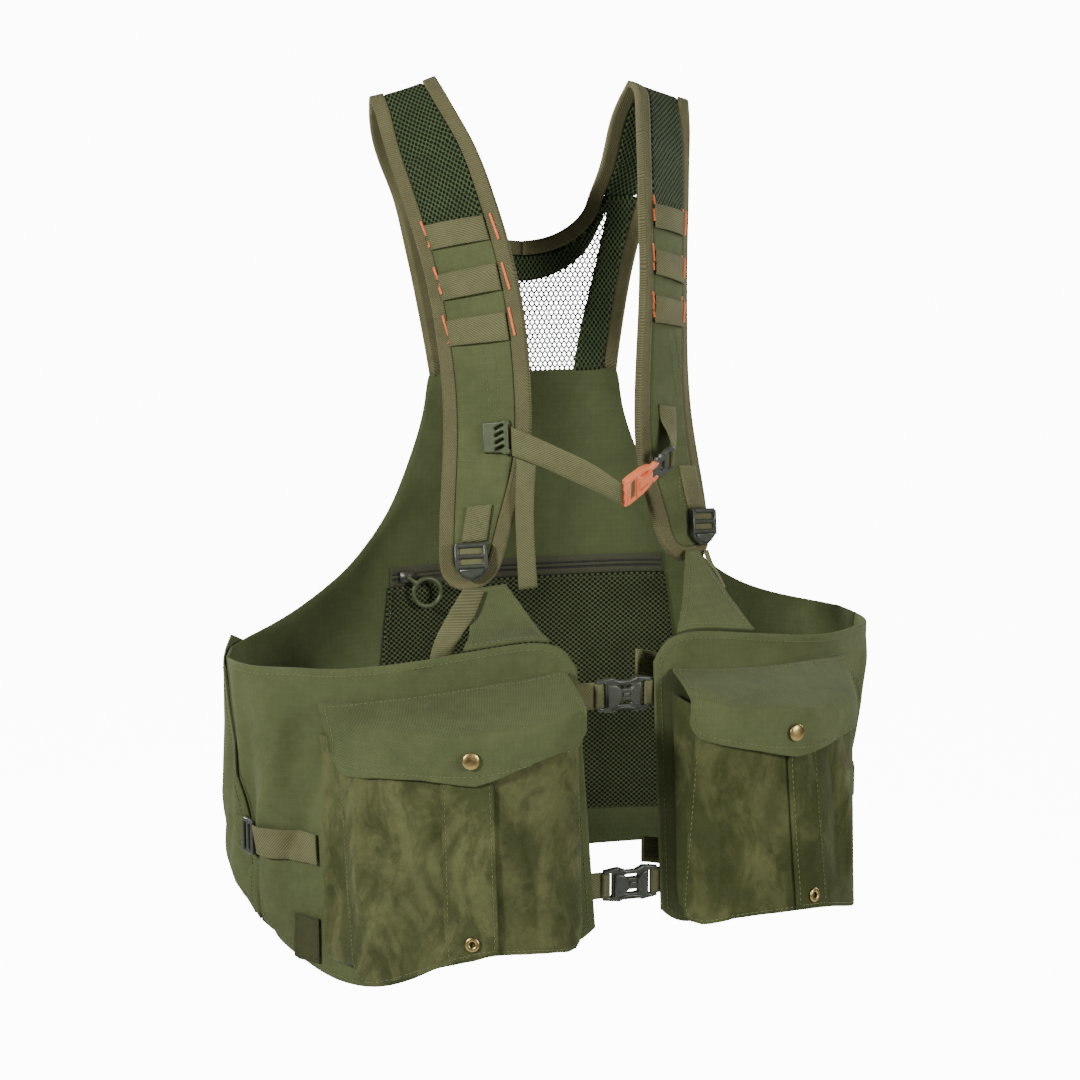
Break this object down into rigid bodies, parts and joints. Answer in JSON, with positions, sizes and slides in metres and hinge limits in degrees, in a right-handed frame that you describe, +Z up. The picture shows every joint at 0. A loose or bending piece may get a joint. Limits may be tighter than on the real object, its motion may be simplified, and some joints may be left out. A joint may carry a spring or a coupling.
{
  "type": "hunting vest",
  "caption": "Hunting vest with padded shoulder straps, a net yoke, two suede bellows pockets with snapped flaps, a rear game pouch and webbing with side-release buckles.",
  "frame": {"origin": "between the shoulders, in the middle between the two strap crests, where the wearer's shoulders carry the vest", "axes": "+Z up, -Y the way the wearer faces, +X the wearer's left"},
  "size_m": [0.5032, 0.3126, 0.63],
  "materials": {
    "ripstop": "dull ripstop weave, mid olive green",
    "suede": "napped suede cloth with darker brushed patches, olive",
    "air_mesh": "spacer mesh with dark cells, deep green",
    "net": "open knotted net, near black green",
    "binding": "twill bias binding, tan olive",
    "webbing": "woven webbing, tan olive",
    "label_tape": "plain woven tape, dark olive brown",
    "orange_plastic": "satin moulded plastic, coral orange",
    "grey_plastic": "satin moulded plastic, dark grey",
    "olive_plastic": "satin moulded plastic, olive",
    "brass": "antique brass, slightly worn",
    "zip": "woven zip tape with coil teeth, grey brown"
  },
  "bodies": {
    "vest": {"back_panel": "ripstop", "game_pouch": "ripstop", "front_panel_right": "ripstop", "front_panel_left": "ripstop", "chest_tab_right": "ripstop", "chest_tab_left": "ripstop", "flap_right": "ripstop", "flap_left": "ripstop", "side_tab_right": "ripstop", "side_tab_left": "ripstop", "label": "label_tape", "strap_right": "air_mesh", "strap_left": "air_mesh", "yoke_frame": "air_mesh", "mesh_pocket": "air_mesh", "yoke_net": "net", "binding_right": "binding", "binding_left": "binding", "band_upper_right": "webbing", "band_middle_right": "webbing", "band_lower_right": "webbing", "band_upper_left": "webbing", "band_middle_left": "webbing", "band_lower_left": "webbing", "lock_patch_right": "webbing", "lock_patch_left": "webbing", "adjuster_tail_right": "webbing", "adjuster_tail_left": "webbing", "sternum_webbing": "webbing", "sternum_tail": "webbing", "sternum_loop": "webbing", "front_webbing_upper_right": "webbing", "front_webbing_upper_left": "webbing", "front_webbing_lower_right": "webbing", "front_webbing_lower_left": "webbing", "side_webbing_right": "webbing", "side_webbing_left": "webbing", "pocket_face_right": "suede", "pocket_face_left": "suede", "pocket_gusset_right": "suede", "pocket_gusset_left": "suede", "pocket_strip_right": "suede", "pocket_strip_left": "suede", "snap_right": "brass", "snap_left": "brass", "eyelet_right": "brass", "eyelet_left": "brass", "ladder_lock_right": "grey_plastic", "ladder_lock_left": "grey_plastic", "side_lock_right": "grey_plastic", "side_lock_left": "grey_plastic", "front_buckle_upper": "grey_plastic", "front_buckle_lower": "grey_plastic", "sternum_buckle_male": "grey_plastic", "sternum_buckle_female": "orange_plastic", "sternum_slider": "olive_plastic", "zip_tape": "zip", "zip_slider": "zip"},
    "ring_pull": {"ring_pull": "olive_plastic"}
  },
  "joints": [
    {"name": "ring_pull_swing", "type": "hinge", "parent": "vest", "child": "ring_pull", "pos_m": [-0.0978, 0.01286, -0.3585], "axis": [0, 0, -1], "range_deg": [0, 150]}
  ]
}
